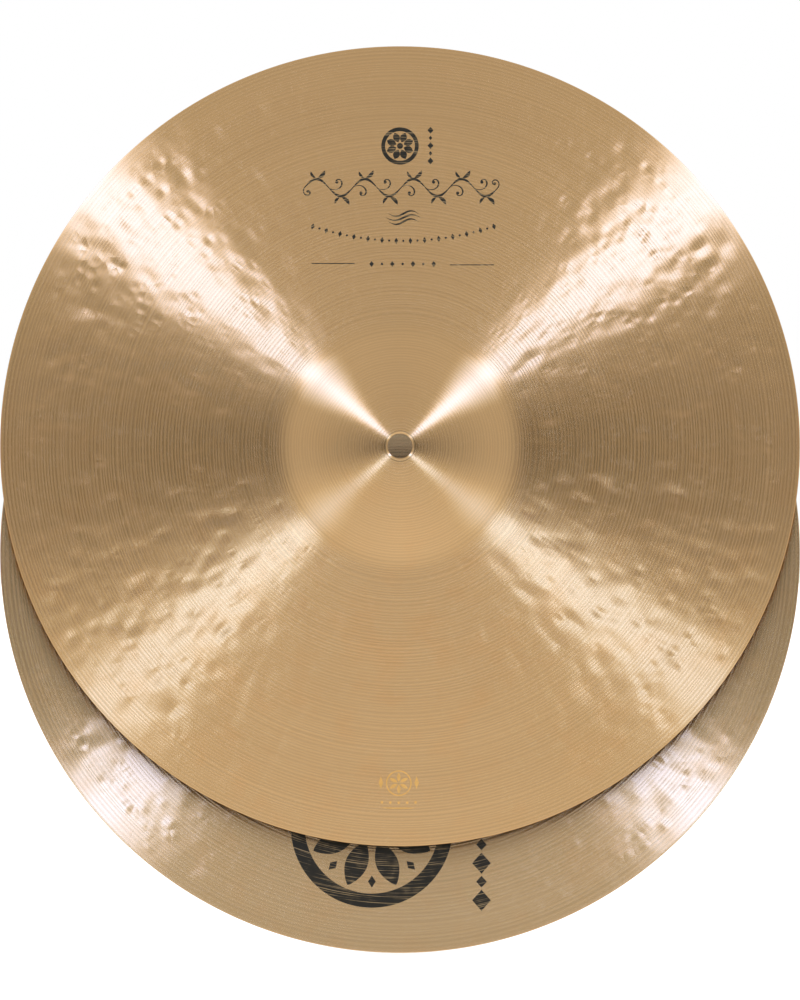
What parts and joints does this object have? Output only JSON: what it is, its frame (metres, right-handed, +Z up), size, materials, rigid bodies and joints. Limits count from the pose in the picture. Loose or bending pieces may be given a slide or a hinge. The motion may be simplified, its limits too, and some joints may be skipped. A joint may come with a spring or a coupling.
{
  "type": "pair of hand cymbals",
  "caption": "Pair of hand-held crash cymbals: two hammered, lathe-turned bronze plates with bells and strap holes, hollow sides face to face, one set lower than the other.",
  "frame": {"origin": "centre of the pair: midway between the two rim planes and midway between the two plate axes", "axes": "+X right, +Z up, +Y towards the back along both plate axes; the front plate's bell points to -Y and the rear plate's bell points to +Y"},
  "size_m": [0.4572, 0.0848, 0.5182],
  "materials": {
    "front_bronze": "lathe-turned cast bronze, convex side outwards, with hammer marks and sparse black ink ornaments",
    "rear_bronze": "lathe-turned cast bronze, hollow side forwards, with coarser turning grooves and one large black ink ornament"
  },
  "bodies": {
    "rear_plate": {"rear_cymbal": "rear_bronze"},
    "front_plate": {"front_cymbal": "front_bronze"}
  },
  "joints": [
    {"name": "clash_stroke", "type": "slide", "parent": "rear_plate", "child": "front_plate", "axis": [0, -1, 0], "range_m": [0, 0.35]}
  ]
}
